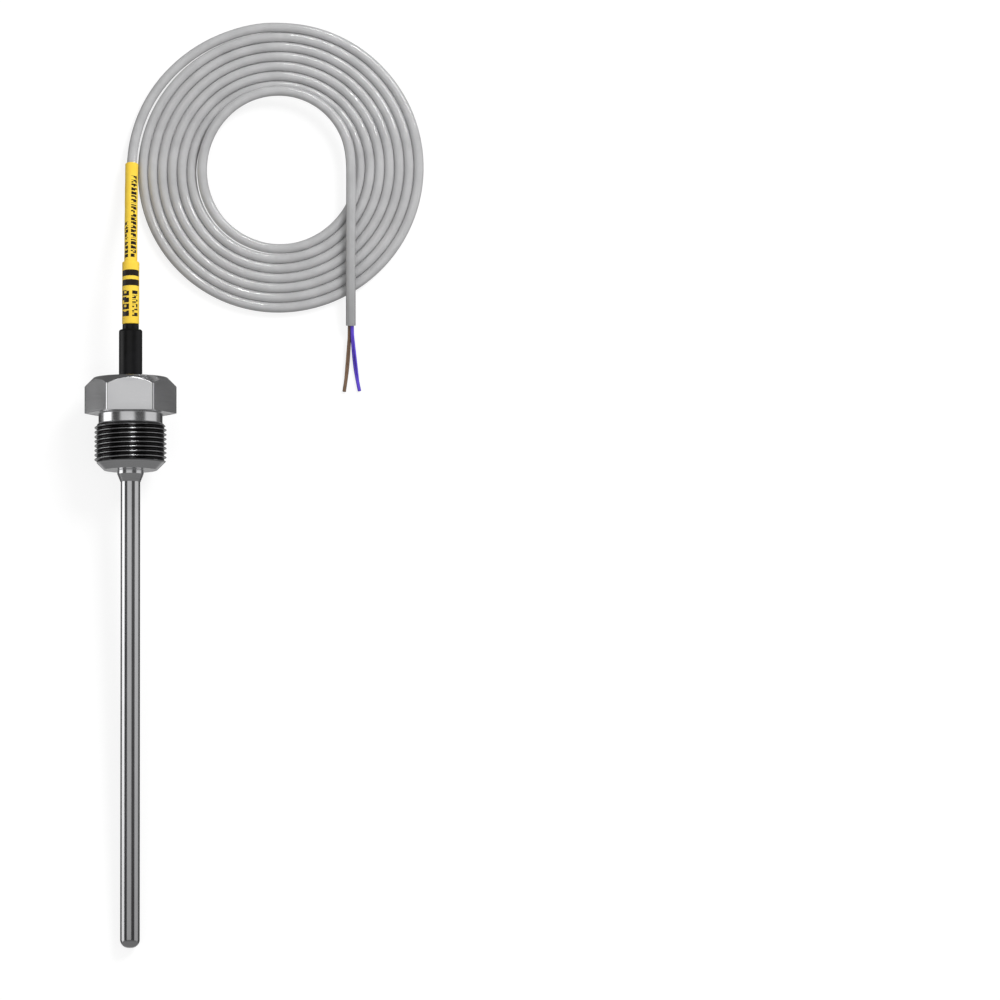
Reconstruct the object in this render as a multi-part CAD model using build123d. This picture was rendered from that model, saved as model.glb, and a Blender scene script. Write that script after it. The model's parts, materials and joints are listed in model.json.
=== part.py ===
from build123d import *
from math import acos, atan2, ceil, cos, degrees, hypot, pi, radians, sin, tan

# Screw-in temperature sensor with a fixed cable, in millimetres, lying as it comes to rest.
# The probe points to -Y and slopes down until its round tip meets the surface at z = 0.
# The hexagon rests on the lower edge of its sealing face, and the cable lies coiled beside it.
# Pieces on the sensor's axis are drawn upright first: s is the height over the sealing face,
# positive towards the cable and negative towards the tip. Local +Y turns to face the surface.

# Fitting, turned from one hexagon bar
hex_flats = 24.7
hex_height = 11.0
hex_land = 22.8
hex_chamfer_angle = 45.0
neck_diameter = 19.7
neck_length = 3.0
thread_major = 22.2
thread_pitch = 1.411
stud_length = 17.5
stud_end_diameter = 16.4
nose_diameter = 8.1
nose_length = 1.2
nose_cone_length = 2.4
nose_lip = 0.1
# Depth that the thread's ridge reaches into the core, so that the two join
ridge_dig = 0.15

# Probe tube, drawn shut to a round end. From the nose up it is drawn down, and its shoulder
# rests on the nose.
tube_diameter = 6.0
tube_seat_diameter = 5.6
tube_wall = 0.5
tube_end_wall = 0.6
tube_end_round = 2.5
probe_length = 165.0
tube_over_hex = 12.0

# Moulded strain relief over the tube's open end
boot_diameter = 7.2
boot_length = 15.0
boot_round = 0.6
boot_neck_diameter = 5.05
boot_neck_length = 1.7

# Marker sleeves, one shrunk over the other
upper_sleeve_diameter = 4.0
lower_sleeve_diameter = 5.26

# Cable with two cores
cable_diameter = 3.0
core_diameter = 1.08
conductor_diameter = 0.5
core_spacing = 1.12

# Measuring insert, counted back from the inside of the tube's end
chip_width = 2.0
chip_length = 4.0
chip_thickness = 0.65
chip_end_gap = 1.0
glaze_width = 1.7
glaze_length = 1.3
glaze_height = 0.5
glaze_round = 0.15
lead_diameter = 0.25
lead_sleeve_diameter = 0.7
lead_free_length = 7.4
splice_length = 5.0
splice_diameter = 0.72
splice_grip = 2.2
splice_sleeve_diameter = 1.0
splice_sleeve_overhang = 0.6
filler_length = 22.0
seal_length = 15.0
jacket_in_tube = 48.0

# Gap left between pieces that fit inside one another
fit_gap = 0.02

# Cable coil: half turns about two centres, wound inwards and clockwise from above
coil_x = 45.3
coil_y = 147.2
coil_radius = 43.3
coil_pitch = 3.01
coil_turns = 6.5
coil_oval = 1.013
# Room between the coil's inner turn and the end of the cable that climbs out of it
coil_hole_gap = 0.3

# Cable route between the strain relief and the coil, from its second point on
run_points = [
    (0.0, 107.5, 14.57),
    (0.0, 123.5, 11.6),
    (0.05, 137.5, 5.7),
    (0.2, 155.9, 1.7),
    (7.1, 172.0, 1.5),
    (19.8, 184.3, 1.5),
    (36.3, 191.06, 1.5),
]
lower_sleeve_end = (0.0, 115.5, 13.085)
upper_sleeve_end = (0.13, 147.6, 3.504)

# Cable route from the coil's inner end: it climbs for half a turn, crosses the coil
# and ends at the cut end of the jacket
tail_points = [
    (40.6, 121.932, 1.5),
    (32.0, 125.6, 1.75),
    (25.4, 132.3, 2.15),
    (21.8, 141.3, 2.65),
    (21.8, 151.0, 3.25),
    (25.4, 160.0, 4.0),
    (32.0, 166.9, 4.6),
    (40.6, 170.6, 4.7),
    (49.8, 170.65, 4.75),
    (58.0, 167.2, 4.7),
    (64.3, 160.8, 4.73),
    (67.7, 152.4, 4.7),
    (67.78, 138.5, 4.8),
    (67.62, 121.0, 4.72),
    (67.7, 105.2, 4.66),
    (67.7, 97.6, 2.7),
]

# Bared cores, the blue one a little above the other out of the jacket and then apart, as offsets
# from the centre of its cut end
brown_core_offsets = [
    (-0.42, 0.0924, -0.3583),
    (-0.42, -3.2966, -1.2326),
    (-0.75, -9.3, -2.12),
    (-1.2, -14.8, -2.15),
    (-2.05, -20.3, -2.15),
]
blue_core_offsets = [
    (0.42, -0.0924, 0.3583),
    (0.42, -3.4814, -0.516),
    (0.98, -9.9, -1.9),
    (1.6, -14.9, -2.15),
    (2.68, -20.1, -2.15),
]

# Sizes worked out from the ones above
hex_radius = hex_flats / 2
thread_radius = thread_major / 2
thread_height = thread_pitch * cos(radians(30))
core_radius = thread_radius - 5 / 8 * thread_height
tube_radius = tube_diameter / 2
tube_bore = tube_radius - tube_wall
tube_seat_radius = tube_seat_diameter / 2
bore_radius = tube_seat_radius + fit_gap
nose_low = -stud_length - nose_length
nose_end = nose_low - nose_cone_length
cable_radius = cable_diameter / 2
boot_end = hex_height + boot_length + boot_neck_length
tube_top = hex_height + tube_over_hex
chip_end = -probe_length + tube_end_wall + chip_end_gap
chip_top = chip_end + chip_length
splice_low = chip_top + lead_free_length
splice_high = splice_low + splice_length
core_x = core_spacing / 2


# Rest: the hexagon's lower edge and the tip's round both touch z = 0
rest_reach = hypot(hex_radius - tube_radius + tube_end_round, probe_length - tube_end_round)
rest_lean = atan2(probe_length - tube_end_round, hex_radius - tube_radius + tube_end_round)
rest_angle = acos(tube_end_round / rest_reach) - rest_lean
tip_reach = (
    (probe_length - tube_end_round) * cos(rest_angle)
    + (tube_radius - tube_end_round) * sin(rest_angle)
    + tube_end_round
)
boot_reach = boot_end * cos(rest_angle) + boot_neck_diameter / 2 * sin(rest_angle)
seal_y = (tip_reach - boot_reach) / 2
seal_z = hex_radius * cos(rest_angle)
axis_direction = Vector(0, cos(rest_angle), sin(rest_angle))
resting = Plane(origin=(0, seal_y, seal_z), x_dir=(1, 0, 0), z_dir=axis_direction).location
cable_exit = Vector(0, seal_y, seal_z) + axis_direction * boot_end


def bar(radius, low, high):
    """Round bar on the axis from s = low to s = high."""
    return Pos(0, 0, low) * Cylinder(radius, high - low, align=(Align.CENTER, Align.CENTER, Align.MIN))


def turned(points):
    """Solid turned about the axis from (radius, s) points."""
    return revolve(make_face(Plane.XZ * Polyline([*points, points[0]])), Axis.Z)


def round_ended(radius, low, high, rounding):
    """Round bar with its low end rounded."""
    rod = bar(radius, low, high)
    return fillet(rod.edges().sort_by(Axis.Z)[0], rounding)


def pipe(outer, inner, low, high):
    """Round pipe on the axis from s = low to s = high."""
    return bar(outer, low, high) - bar(inner, low, high)


def stud_cutter(radius, s, side):
    """All that lies beyond s, and outside a 45 degree cone that starts there at the radius."""
    reach = thread_major
    return turned(
        [
            (0, s),
            (radius, s),
            (radius + reach, s - side * reach),
            (radius + reach, s + side * reach),
            (0, s + side * reach),
        ]
    )


def thread():
    """Right-hand stud thread: a V ridge along a helix on the core, cut back by a cone at each end.

    The ridge makes whole turns, from past the neck to past the stud's end.
    """
    high = -neck_length + 1.5 * thread_pitch
    turns = ceil((stud_length - neck_length) / thread_pitch) + 3
    low = high - turns * thread_pitch
    helix = Pos(0, 0, low) * Helix(pitch=thread_pitch, height=high - low, radius=core_radius)
    foot = core_radius - ridge_dig
    half_foot = 3 / 8 * thread_pitch + ridge_dig * tan(radians(30))
    half_crest = thread_pitch / 16
    ridge_corners = [
        (foot, low - half_foot),
        (thread_radius, low - half_crest),
        (thread_radius, low + half_crest),
        (foot, low + half_foot),
        (foot, low - half_foot),
    ]
    ridge = sweep(make_face(Plane.XZ * Polyline(ridge_corners)), path=helix, is_frenet=True)
    stud = bar(core_radius, low - thread_pitch, high + thread_pitch) + ridge
    stud -= stud_cutter(stud_end_diameter / 2, -stud_length, -1)
    return stud - stud_cutter(neck_diameter / 2, -neck_length, 1)


def threaded_fitting():
    """Hexagon with its top edge chamfered, relief neck, stud thread and nose, bored for the tube."""
    land = hex_land / 2
    corner = hex_flats / cos(radians(30)) / 2 + 1
    drop = (corner - land) * tan(radians(hex_chamfer_angle))
    slope = [(corner, hex_height - drop), (land, hex_height)]
    envelope = turned([(0, 0), (corner, 0), *slope, (0, hex_height)])
    hexagon = extrude(RegularPolygon(hex_radius, 6, major_radius=False), hex_height) & envelope
    nose = nose_diameter / 2
    tip = turned(
        [
            (0, -stud_length),
            (nose, -stud_length),
            (nose, nose_low),
            (tube_radius + nose_lip, nose_end),
            (0, nose_end),
        ]
    )
    solid = hexagon + bar(neck_diameter / 2, -neck_length, 0) + thread() + tip
    return solid - bar(bore_radius, nose_end, hex_height)


def probe_tube():
    """Thin tube through the fitting, shut by a round end and drawn down from its shoulder up."""
    shoulder = nose_end - fit_gap
    outside = round_ended(tube_radius, -probe_length, shoulder, tube_end_round)
    outside += bar(tube_seat_radius, shoulder, tube_top)
    inside = round_ended(tube_bore, -probe_length + tube_end_wall, tube_top, tube_end_round - tube_wall)
    return outside - inside


def strain_relief_boot():
    """Stepped rubber boot: wide over the tube's end, narrow where the cable leaves."""
    body_top = hex_height + boot_length
    outer = turned(
        [
            (0, hex_height),
            (boot_diameter / 2, hex_height),
            (boot_diameter / 2, body_top),
            (boot_neck_diameter / 2, body_top),
            (boot_neck_diameter / 2, boot_end),
            (0, boot_end),
        ]
    )
    shoulder = outer.edges().filter_by(GeomType.CIRCLE).filter_by_position(Axis.Z, body_top, body_top)
    outer = fillet(shoulder.sort_by(SortBy.RADIUS)[-1], boot_round)
    return outer - bar(bore_radius, hex_height, tube_top) - bar(cable_radius + fit_gap, tube_top, boot_end)


def sensing_chip():
    """Ceramic plate of the measuring resistor, under the two leads."""
    plate = Box(chip_width, chip_thickness, chip_length, align=(Align.CENTER, Align.MIN, Align.MIN))
    return Pos(0, lead_diameter / 2, chip_end) * plate


def chip_glaze():
    """Glass drop that holds the leads on the plate."""
    drop = Box(glaze_width, glaze_height, glaze_length, align=(Align.CENTER, Align.MAX, Align.MAX))
    drop = fillet(drop.edges().filter_by(Axis.Z).sort_by(Axis.Y)[:2], glaze_round)
    return Pos(0, lead_diameter / 2, chip_top) * drop


def chip_lead():
    """Fine wire from the glass drop into the splice."""
    return bar(lead_diameter / 2, chip_top, splice_low + splice_grip)


def lead_sleeve():
    """Insulating tube over the free part of a lead."""
    return pipe(lead_sleeve_diameter / 2, lead_diameter / 2 + fit_gap, chip_top, splice_low)


def splice():
    """Crimped ferrule that joins a lead to a conductor."""
    ferrule = bar(splice_diameter / 2, splice_low, splice_high)
    lead_hole = bar(lead_diameter / 2 + fit_gap, splice_low, splice_low + splice_grip)
    wire_hole = bar(conductor_diameter / 2 + fit_gap, splice_high - splice_grip, splice_high)
    return ferrule - lead_hole - wire_hole


def splice_sleeve():
    """Shrunk tube over a splice, a little longer than it at the lead's end."""
    inner = splice_diameter / 2 + fit_gap
    return pipe(splice_sleeve_diameter / 2, inner, splice_low - splice_sleeve_overhang, splice_high)


def conductor():
    """Copper conductor from its splice to where the cable leaves the boot."""
    return bar(conductor_diameter / 2, splice_high - splice_grip, boot_end)


def core():
    """Insulation of a conductor, from its splice to where the cable leaves the boot."""
    return pipe(core_diameter / 2, conductor_diameter / 2 + fit_gap, splice_high, boot_end)


def inner_jacket():
    """Jacket of the cable inside the tube and the boot, with one flat opening for both cores."""
    opening = SlotCenterToCenter(core_spacing, core_diameter + 2 * fit_gap)
    low = tube_top - jacket_in_tube
    return bar(cable_radius, low, boot_end) - Pos(0, 0, low) * extrude(opening, boot_end - low)


def tip_filler(insert):
    """Thermal compound that fills the tube's end round the measuring insert."""
    low = -probe_length + tube_end_wall
    body = round_ended(tube_bore - fit_gap, low, low + filler_length, tube_end_round - tube_wall)
    for piece in insert:
        body -= piece
    return body


def cable_seal():
    """Resin plug between the cable and the tube's mouth."""
    return pipe(tube_bore - fit_gap, cable_radius + fit_gap, tube_top - seal_length, tube_top)


def bend_radii(points):
    """One arc radius per corner: 0.45 of the shorter run over the tangent of half the turn."""
    corners = [Vector(*point) for point in points]
    radii = []
    for before, corner, after in zip(corners, corners[1:], corners[2:]):
        half_turn = radians((corner - before).get_angle(after - corner)) / 2
        shorter = min((corner - before).length, (after - corner).length)
        radii.append(0.45 * shorter / tan(half_turn))
    return radii


def route(points, radii):
    """Straight runs joined by tangent arcs."""
    return FilletPolyline([Vector(*point) for point in points], radius=radii)


def along(path, section):
    """The section carried along the path from its first point."""
    return sweep(Plane(origin=path @ 0, z_dir=path % 0) * section, path=path)


def coil_outline(right_turn, left_turn, offset):
    """Two half ovals, each so many turns in and offset from the cable's middle, with a step between."""
    right = coil_radius - right_turn * coil_pitch + offset
    left = coil_radius - left_turn * coil_pitch + offset
    left_y = coil_y - coil_oval * coil_pitch / 2
    right_half = EllipticalCenterArc((coil_x, coil_y), right, coil_oval * right, -90, arc_size=180)
    left_half = EllipticalCenterArc((coil_x, left_y), left, coil_oval * left, 90, arc_size=180)
    side = 1 if left_turn > right_turn else -1
    step = Line((coil_x, coil_y + side * coil_oval * right), (coil_x, left_y + side * coil_oval * left))
    return make_face([right_half, step, left_half])


def cable_coil():
    """Flat ring that the wound turns fill, stepped where the cable joins its outside and its inside."""
    ring = coil_outline(0, 0.5, cable_radius)
    hole = coil_outline(coil_turns - 0.5, coil_turns - 1, -cable_radius)
    return extrude(ring - hole, cable_diameter)


inner_radius = coil_radius - (coil_turns - 0.5) * coil_pitch
run = [tuple(cable_exit), *run_points, (coil_x, coil_y + coil_oval * coil_radius, cable_radius)]
run_radii = bend_radii(run)
tail_start_y = coil_y - coil_oval * inner_radius + coil_hole_gap
tail = [(coil_x, tail_start_y, cable_radius), *tail_points]
tail_radii = bend_radii(tail)
print("cable run radii", [round(radius, 1) for radius in run_radii])
print("cable tail radii", [round(radius, 1) for radius in tail_radii])

lower_path = route([run[0], run[1], lower_sleeve_end], run_radii[:1])
upper_path = route([*run[:4], upper_sleeve_end], run_radii[:3])
run_path = route(run, run_radii)
tail_path = route(tail, tail_radii)

brown_side = Pos(-core_x, 0, 0)
blue_side = Pos(core_x, 0, 0)
chip = sensing_chip()
glaze = chip_glaze()
insert = [chip, glaze]
for side in (brown_side, blue_side):
    insert.append(side * bar(lead_sleeve_diameter / 2, chip_top, splice_low))
    insert.append(side * bar(splice_sleeve_diameter / 2, splice_low - splice_sleeve_overhang, splice_high))
    insert.append(side * bar(core_diameter / 2, splice_high, boot_end))

on_axis = {
    "threaded_fitting": threaded_fitting(),
    "probe_tube": probe_tube(),
    "strain_relief_boot": strain_relief_boot(),
    "sensing_chip": chip,
    "chip_glaze": glaze,
    "tip_filler": tip_filler(insert),
    "cable_seal": cable_seal(),
    "inner_jacket": inner_jacket(),
}
for colour, side in (("brown", brown_side), ("blue", blue_side)):
    on_axis[f"chip_lead_{colour}"] = side * chip_lead()
    on_axis[f"lead_sleeve_{colour}"] = side * lead_sleeve()
    on_axis[f"splice_{colour}"] = side * splice()
    on_axis[f"splice_sleeve_{colour}"] = side * splice_sleeve()
    on_axis[f"conductor_{colour}"] = side * conductor()
    on_axis[f"core_{colour}"] = side * core()

pieces = {name: resting * piece for name, piece in on_axis.items()}

cable_section = Circle(cable_radius)
pieces["cable_run"] = along(run_path, cable_section)
pieces["cable_tail"] = along(tail_path, cable_section)
pieces["cable_coil"] = cable_coil()

upper_hole = Circle(cable_radius + fit_gap)
lower_hole = Circle(upper_sleeve_diameter / 2 + fit_gap)
pieces["marker_sleeve_upper"] = along(upper_path, Circle(upper_sleeve_diameter / 2) - upper_hole)
pieces["marker_sleeve_lower"] = along(lower_path, Circle(lower_sleeve_diameter / 2) - lower_hole)

cut_end = Vector(*tail[-1])
for colour, offsets in (("brown", brown_core_offsets), ("blue", blue_core_offsets)):
    core_route = [tuple(cut_end + Vector(*offset)) for offset in offsets]
    core_radii = bend_radii(core_route)
    print(colour, "core radii", [round(radius, 1) for radius in core_radii])
    core_path = route(core_route, core_radii)
    hole = Circle(conductor_diameter / 2 + fit_gap)
    pieces[f"core_{colour}_end"] = along(core_path, Circle(core_diameter / 2) - hole)
    pieces[f"conductor_{colour}_end"] = along(core_path, Circle(conductor_diameter / 2))

for name, path in (("cable_run", run_path), ("cable_tail", tail_path)):
    section_times_length = pi * cable_radius**2 * path.length
    print(name, "length", round(path.length, 1), "volume", round(pieces[name].volume, 1))
    print("section times length", round(section_times_length, 1))
print("rest angle", round(degrees(rest_angle), 6), "sealing face", round(seal_y, 5), round(seal_z, 5))
print("cable exit", [round(value, 5) for value in cable_exit])

for name, piece in pieces.items():
    export_step(piece, f"parts/{name}.step")
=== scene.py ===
import json
from math import cos, pi, radians, sin, tan

import bmesh
import bpy
import numpy as np
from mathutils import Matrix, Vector


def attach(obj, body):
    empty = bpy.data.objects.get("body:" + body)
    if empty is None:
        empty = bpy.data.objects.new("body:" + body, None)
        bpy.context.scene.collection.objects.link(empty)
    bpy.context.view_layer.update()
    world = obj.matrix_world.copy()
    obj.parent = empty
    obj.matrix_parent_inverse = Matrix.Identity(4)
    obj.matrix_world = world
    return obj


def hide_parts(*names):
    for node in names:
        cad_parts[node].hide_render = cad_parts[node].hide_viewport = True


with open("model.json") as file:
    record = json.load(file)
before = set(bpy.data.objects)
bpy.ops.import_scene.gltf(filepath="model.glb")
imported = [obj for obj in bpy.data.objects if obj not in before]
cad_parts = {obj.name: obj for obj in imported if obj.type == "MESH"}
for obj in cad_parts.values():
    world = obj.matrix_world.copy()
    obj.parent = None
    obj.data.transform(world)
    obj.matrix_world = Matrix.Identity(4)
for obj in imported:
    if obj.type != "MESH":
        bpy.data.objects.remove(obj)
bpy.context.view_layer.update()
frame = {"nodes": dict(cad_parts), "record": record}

mm = 0.001
nodes = frame["nodes"]
mounts = {mount["name"]: mount for mount in frame["record"]["mounts"]}

# The sensor's axis: s counts from the hexagon's sealing face, up towards the cable
seal = np.array(mounts["sealing_face"]["pos_m"]) * (0, 1, 1)
along = -np.array(mounts["sealing_face"]["axis"])
along /= np.linalg.norm(along)
sideways = np.array((1.0, 0.0, 0.0))
downwards = np.cross(along, sideways)
print("frame loaded")


# Camera: the photo's angle, from the tip's side and nearly straight down
camera = {
    "tilt": radians(9.3),          # from straight down
    "distance": 10.0,
    "aim": (0.11366, 0.0426, 0.006),
    "frameWidth": 0.3077,          # width that the frame takes in at the aim
}


def makeCamera():
    data = bpy.data.cameras.new("photoCamera")
    data.sensor_width = 36
    data.lens = 36 * camera["distance"] / camera["frameWidth"]
    data.clip_start, data.clip_end = 0.1, 50
    eye = bpy.data.objects.new("photoCamera", data)
    back = Vector((0, -sin(camera["tilt"]), cos(camera["tilt"])))
    eye.location = Vector(camera["aim"]) + back * camera["distance"]
    eye.rotation_euler = (camera["tilt"], 0, 0)
    bpy.context.collection.objects.link(eye)
    bpy.context.scene.camera = eye


makeCamera()
print("camera made")


# Cable: one spline from the boot, round the coil, out over it and to its cut end
cable = {
    "diameter": 3.0 * mm,
    "length": 1.69,
    "boreToExit": 27.7 * mm,       # along the axis, from the sealing face to the boot's end
    "runPoints": [                 # from the boot down to the coil, in millimetres
        (0.0, 107.5, 14.57),
        (0.0, 123.5, 11.6),
        (0.05, 137.5, 5.7),
        (0.2, 155.9, 1.7),
        (7.1, 172.0, 1.5),
        (19.8, 184.3, 1.5),
        (36.3, 191.06, 1.5),
    ],
    "tailPoints": [                # from the coil's inside up, over it and down to the cut end
        (40.6, 121.932, 1.5),
        (32.0, 125.6, 1.75),
        (25.4, 132.3, 2.15),
        (21.8, 141.3, 2.65),
        (21.8, 151.0, 3.25),
        (25.4, 160.0, 4.0),
        (32.0, 166.9, 4.6),
        (40.6, 170.6, 4.7),
        (49.8, 170.65, 4.75),
        (58.0, 167.2, 4.7),
        (64.3, 160.8, 4.73),
        (67.7, 152.4, 4.7),
        (67.78, 138.5, 4.8),
        (67.62, 121.0, 4.72),
        (67.7, 105.2, 4.66),
        (67.7, 97.6, 2.7),
    ],
}
coil = {
    "x": 45.3, "y": 147.2,
    "radius": 43.3,
    "pitch": 3.01,                 # from one turn to the next
    "halfTurns": 13,
    "oval": 1.013,                 # a little longer along the sensor
    "pointsPerHalf": 12,
}
cores = {
    "radius": 0.54, "bore": 0.27, "cutRound": 0.05,
    "strandRadius": 0.08, "strandCircle": 0.168, "layLength": 9.0, "recess": 0.06,
    "rings": 90, "sides": 24, "strandSides": 10,
    "brown": [                     # offsets from the middle of the jacket's cut end
        (-0.42, 0.0924, -0.3583),
        (-0.42, -3.2966, -1.2326),
        (-0.75, -9.3, -2.12),
        (-1.2, -14.8, -2.15),
        (-2.05, -20.3, -2.15),
    ],
    "blue": [
        (0.42, -0.0924, 0.3583),
        (0.42, -3.4814, -0.516),
        (0.98, -9.9, -1.9),
        (1.6, -14.9, -2.15),
        (2.68, -20.1, -2.15),
    ],
}


# Corners of the wound turns: half turns about two centres, one pitch in per full turn.
# Each corner lies outside its arc by 1 / cos(half a step), so the spline touches the arc.
def coilCorners():
    step = pi / coil["pointsPerHalf"]
    corners = []
    for half in range(coil["halfTurns"]):
        radius = (coil["radius"] - half * coil["pitch"] / 2) / cos(step / 2)
        centreY = coil["y"] - (half % 2) * coil["oval"] * coil["pitch"] / 2
        for k in range(coil["pointsPerHalf"]):
            angle = pi / 2 - half * pi - (k + 0.5) * step
            x, y = radius * cos(angle), coil["oval"] * radius * sin(angle)
            corners.append((coil["x"] + x, centreY + y, cable["diameter"] / 2 / mm))
    return corners


def makeSpline(name, points, bevel=0.0, sides=24):
    data = bpy.data.curves.new(name, "CURVE")
    data.dimensions = "3D"
    spline = data.splines.new("NURBS")
    spline.points.add(len(points) - 1)
    spline.points.foreach_set("co", np.c_[np.array(points), np.ones(len(points))].ravel())
    spline.order_u = 3
    spline.use_endpoint_u = True
    data.resolution_u = 7
    data.bevel_depth = bevel
    data.bevel_resolution = sides // 2 - 2
    data.use_fill_caps = bevel > 0
    piece = bpy.data.objects.new(name, data)
    bpy.context.collection.objects.link(piece)
    return piece


# The line that a spline through these control points follows, read from a curve with no bevel
def splineLine(points, resolution=12):
    bare = makeSpline("line", points)
    bare.data.resolution_u = resolution
    mesh = bpy.data.meshes.new_from_object(bare)
    line = np.zeros(len(mesh.vertices) * 3)
    mesh.vertices.foreach_get("co", line)
    bpy.data.objects.remove(bare)
    bpy.data.meshes.remove(mesh)
    return line.reshape(-1, 3)


cableExit = seal + along * cable["boreToExit"]
cablePoints = np.vstack([[cableExit / mm], cable["runPoints"], coilCorners(), cable["tailPoints"]]) * mm
cableCord = makeSpline("cableCord", cablePoints, cable["diameter"] / 2)
cableLine = splineLine(cablePoints)
cutEnd = cablePoints[-1]
print("cable laid")


# One grid of points as vertices, faces and UVs. Rows run along the surface and columns round it,
# and a ring's last column meets its first. u and v hold one more column than a ring's points.
def gridFaces(points, u, v, ring=True):
    rows, columns = points.shape[:2]
    row, column = np.meshgrid(np.arange(rows - 1), np.arange(columns - (not ring)), indexing="ij")
    nextColumn = (column + 1) % columns
    faces = np.stack([row * columns + column, row * columns + nextColumn,
                      (row + 1) * columns + nextColumn, (row + 1) * columns + column], axis=-1)
    places = [(row, column), (row, column + 1), (row + 1, column + 1), (row + 1, column)]
    uv = np.stack([np.stack([u[place], v[place]], -1) for place in places], axis=2)
    return points.reshape(-1, 3), faces.reshape(-1, 4), uv.reshape(-1, 2)


# Joins grids into one piece, welds them and turns the faces outwards, smooth below the angle
def meshPiece(name, grids, sharpAngle=30, weld=2e-7):
    starts = np.cumsum([0] + [len(grid[0]) for grid in grids])
    mesh = bpy.data.meshes.new(name)
    faces = np.vstack([grid[1] + start for grid, start in zip(grids, starts)])
    mesh.from_pydata(np.vstack([grid[0] for grid in grids]), [], faces.tolist())
    uv = np.vstack([grid[2] for grid in grids])
    mesh.uv_layers.new(name="surface").data.foreach_set("uv", uv.ravel())
    work = bmesh.new()
    work.from_mesh(mesh)
    bmesh.ops.remove_doubles(work, verts=work.verts, dist=weld)
    bmesh.ops.dissolve_degenerate(work, dist=weld, edges=work.edges)
    bmesh.ops.recalc_face_normals(work, faces=work.faces)
    work.to_mesh(mesh)
    work.free()
    mesh.shade_smooth()
    mesh.set_sharp_from_angle(angle=radians(sharpAngle))
    piece = bpy.data.objects.new(name, mesh)
    bpy.context.collection.objects.link(piece)
    return piece


# A ring grid about the sensor's axis: radius and s in millimetres, one row per outline point.
# u is the turn round and v the way along the outline, in metres.
def turnedGrid(angle, radius, s):
    angle, radius, s = np.broadcast_arrays(angle[None, :], radius, s)
    outwards = np.cos(angle)[..., None] * sideways + np.sin(angle)[..., None] * downwards
    points = seal + (outwards * radius[..., None] + along * s[..., None]) * mm
    steps = np.hypot(np.diff(radius[:, 0]), np.diff(s[:, 0])) * mm
    u = np.append(angle[0], angle[0, 0] + 2 * pi)[None, :] / (2 * pi)
    v = np.r_[0, np.cumsum(steps)][:, None]
    return gridFaces(points, *np.broadcast_arrays(u, v))


# An outline from (radius, s, rounding) corners: each rounding is an arc tangent to both sides,
# with one more point just off each of its ends, so that flat stretches stay flat in the light
def outline(corners, support=0.03, steps=5):
    corners = [np.array(corner, float) for corner in corners]
    made = [corners[0][:2]]
    for before, corner, after in zip(corners, corners[1:], corners[2:]):
        if corner[2] == 0:
            made.append(corner[:2])
            continue
        a, b = (before - corner)[:2], (after - corner)[:2]
        a, b = a / np.linalg.norm(a), b / np.linalg.norm(b)
        half = np.arccos(np.clip(a @ b, -1, 1)) / 2
        toCentre = (a + b) / np.linalg.norm(a + b) * corner[2] / sin(half)
        turn = np.linspace(0, 1, steps)[:, None]
        spoke = (a * (1 - turn) + b * turn) * corner[2] / tan(half) - toCentre
        arc = corner[:2] + toCentre + spoke / np.linalg.norm(spoke, axis=1)[:, None] * corner[2]
        made += [arc[0] + a * support, *arc, arc[-1] + b * support]
    made.append(corners[-1][:2])
    return np.array(made)


# A closed piece turned about the axis. Its outline starts and ends at the same corner.
def turnedPiece(name, corners, columns=128, sharpAngle=35):
    line = outline([*corners, corners[0]])
    angle = np.arange(columns) * 2 * pi / columns
    return meshPiece(name, [turnedGrid(angle, line[:, :1], line[:, 1:])], sharpAngle)


# Fitting: hexagon, relief neck, stud thread, nose and the bore for the tube, as one skin
fitting = {
    "flats": 24.7, "height": 11.0, "land": 22.8, "cornerPower": 85,
    "topRings": (4.5, 8.0),        # radii of two rings on the top face, between the bore and the land
    "neck": 19.7, "neckLength": 3.0, "neckRound": 0.35,
    "major": 22.2, "pitch": 1.411, "crestRound": 0.06,
    # how far from the crest's middle the strip's columns lie, in shares of the pitch
    "threadColumns": (0.0333, 0.06, 0.0867, 0.1333, 0.2133, 0.2933, 0.3467, 0.3733, 0.4067, 0.5),
    "stud": 17.5, "studEnd": 16.4,
    "nose": 8.1, "noseLength": 1.2, "cone": 2.4, "coneEnd": 6.2,
    "bore": 5.64,
    "edgeBreak": 0.14,
}


# Angles round the fitting, closer together at the hexagon's corners
def fittingAngles():
    half = np.r_[0, 0.25, 0.55, 0.9, 1.4, 2.2, np.linspace(3.6, 30, 12)]
    side = np.r_[half, 60 - half[-2:0:-1]]
    return np.radians(np.concatenate([60 * k + side for k in range(6)]))


# The hexagon's radius at an angle: a high power mean of its six flats, which rounds the corners
def hexagonRadius(angle):
    power = fitting["cornerPower"]
    facing = np.array([np.maximum(np.cos(angle - radians(30 + 60 * k)), 0) for k in range(6)])
    return fitting["flats"] / 2 / (facing ** power).sum(0) ** (1 / power)


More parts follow.
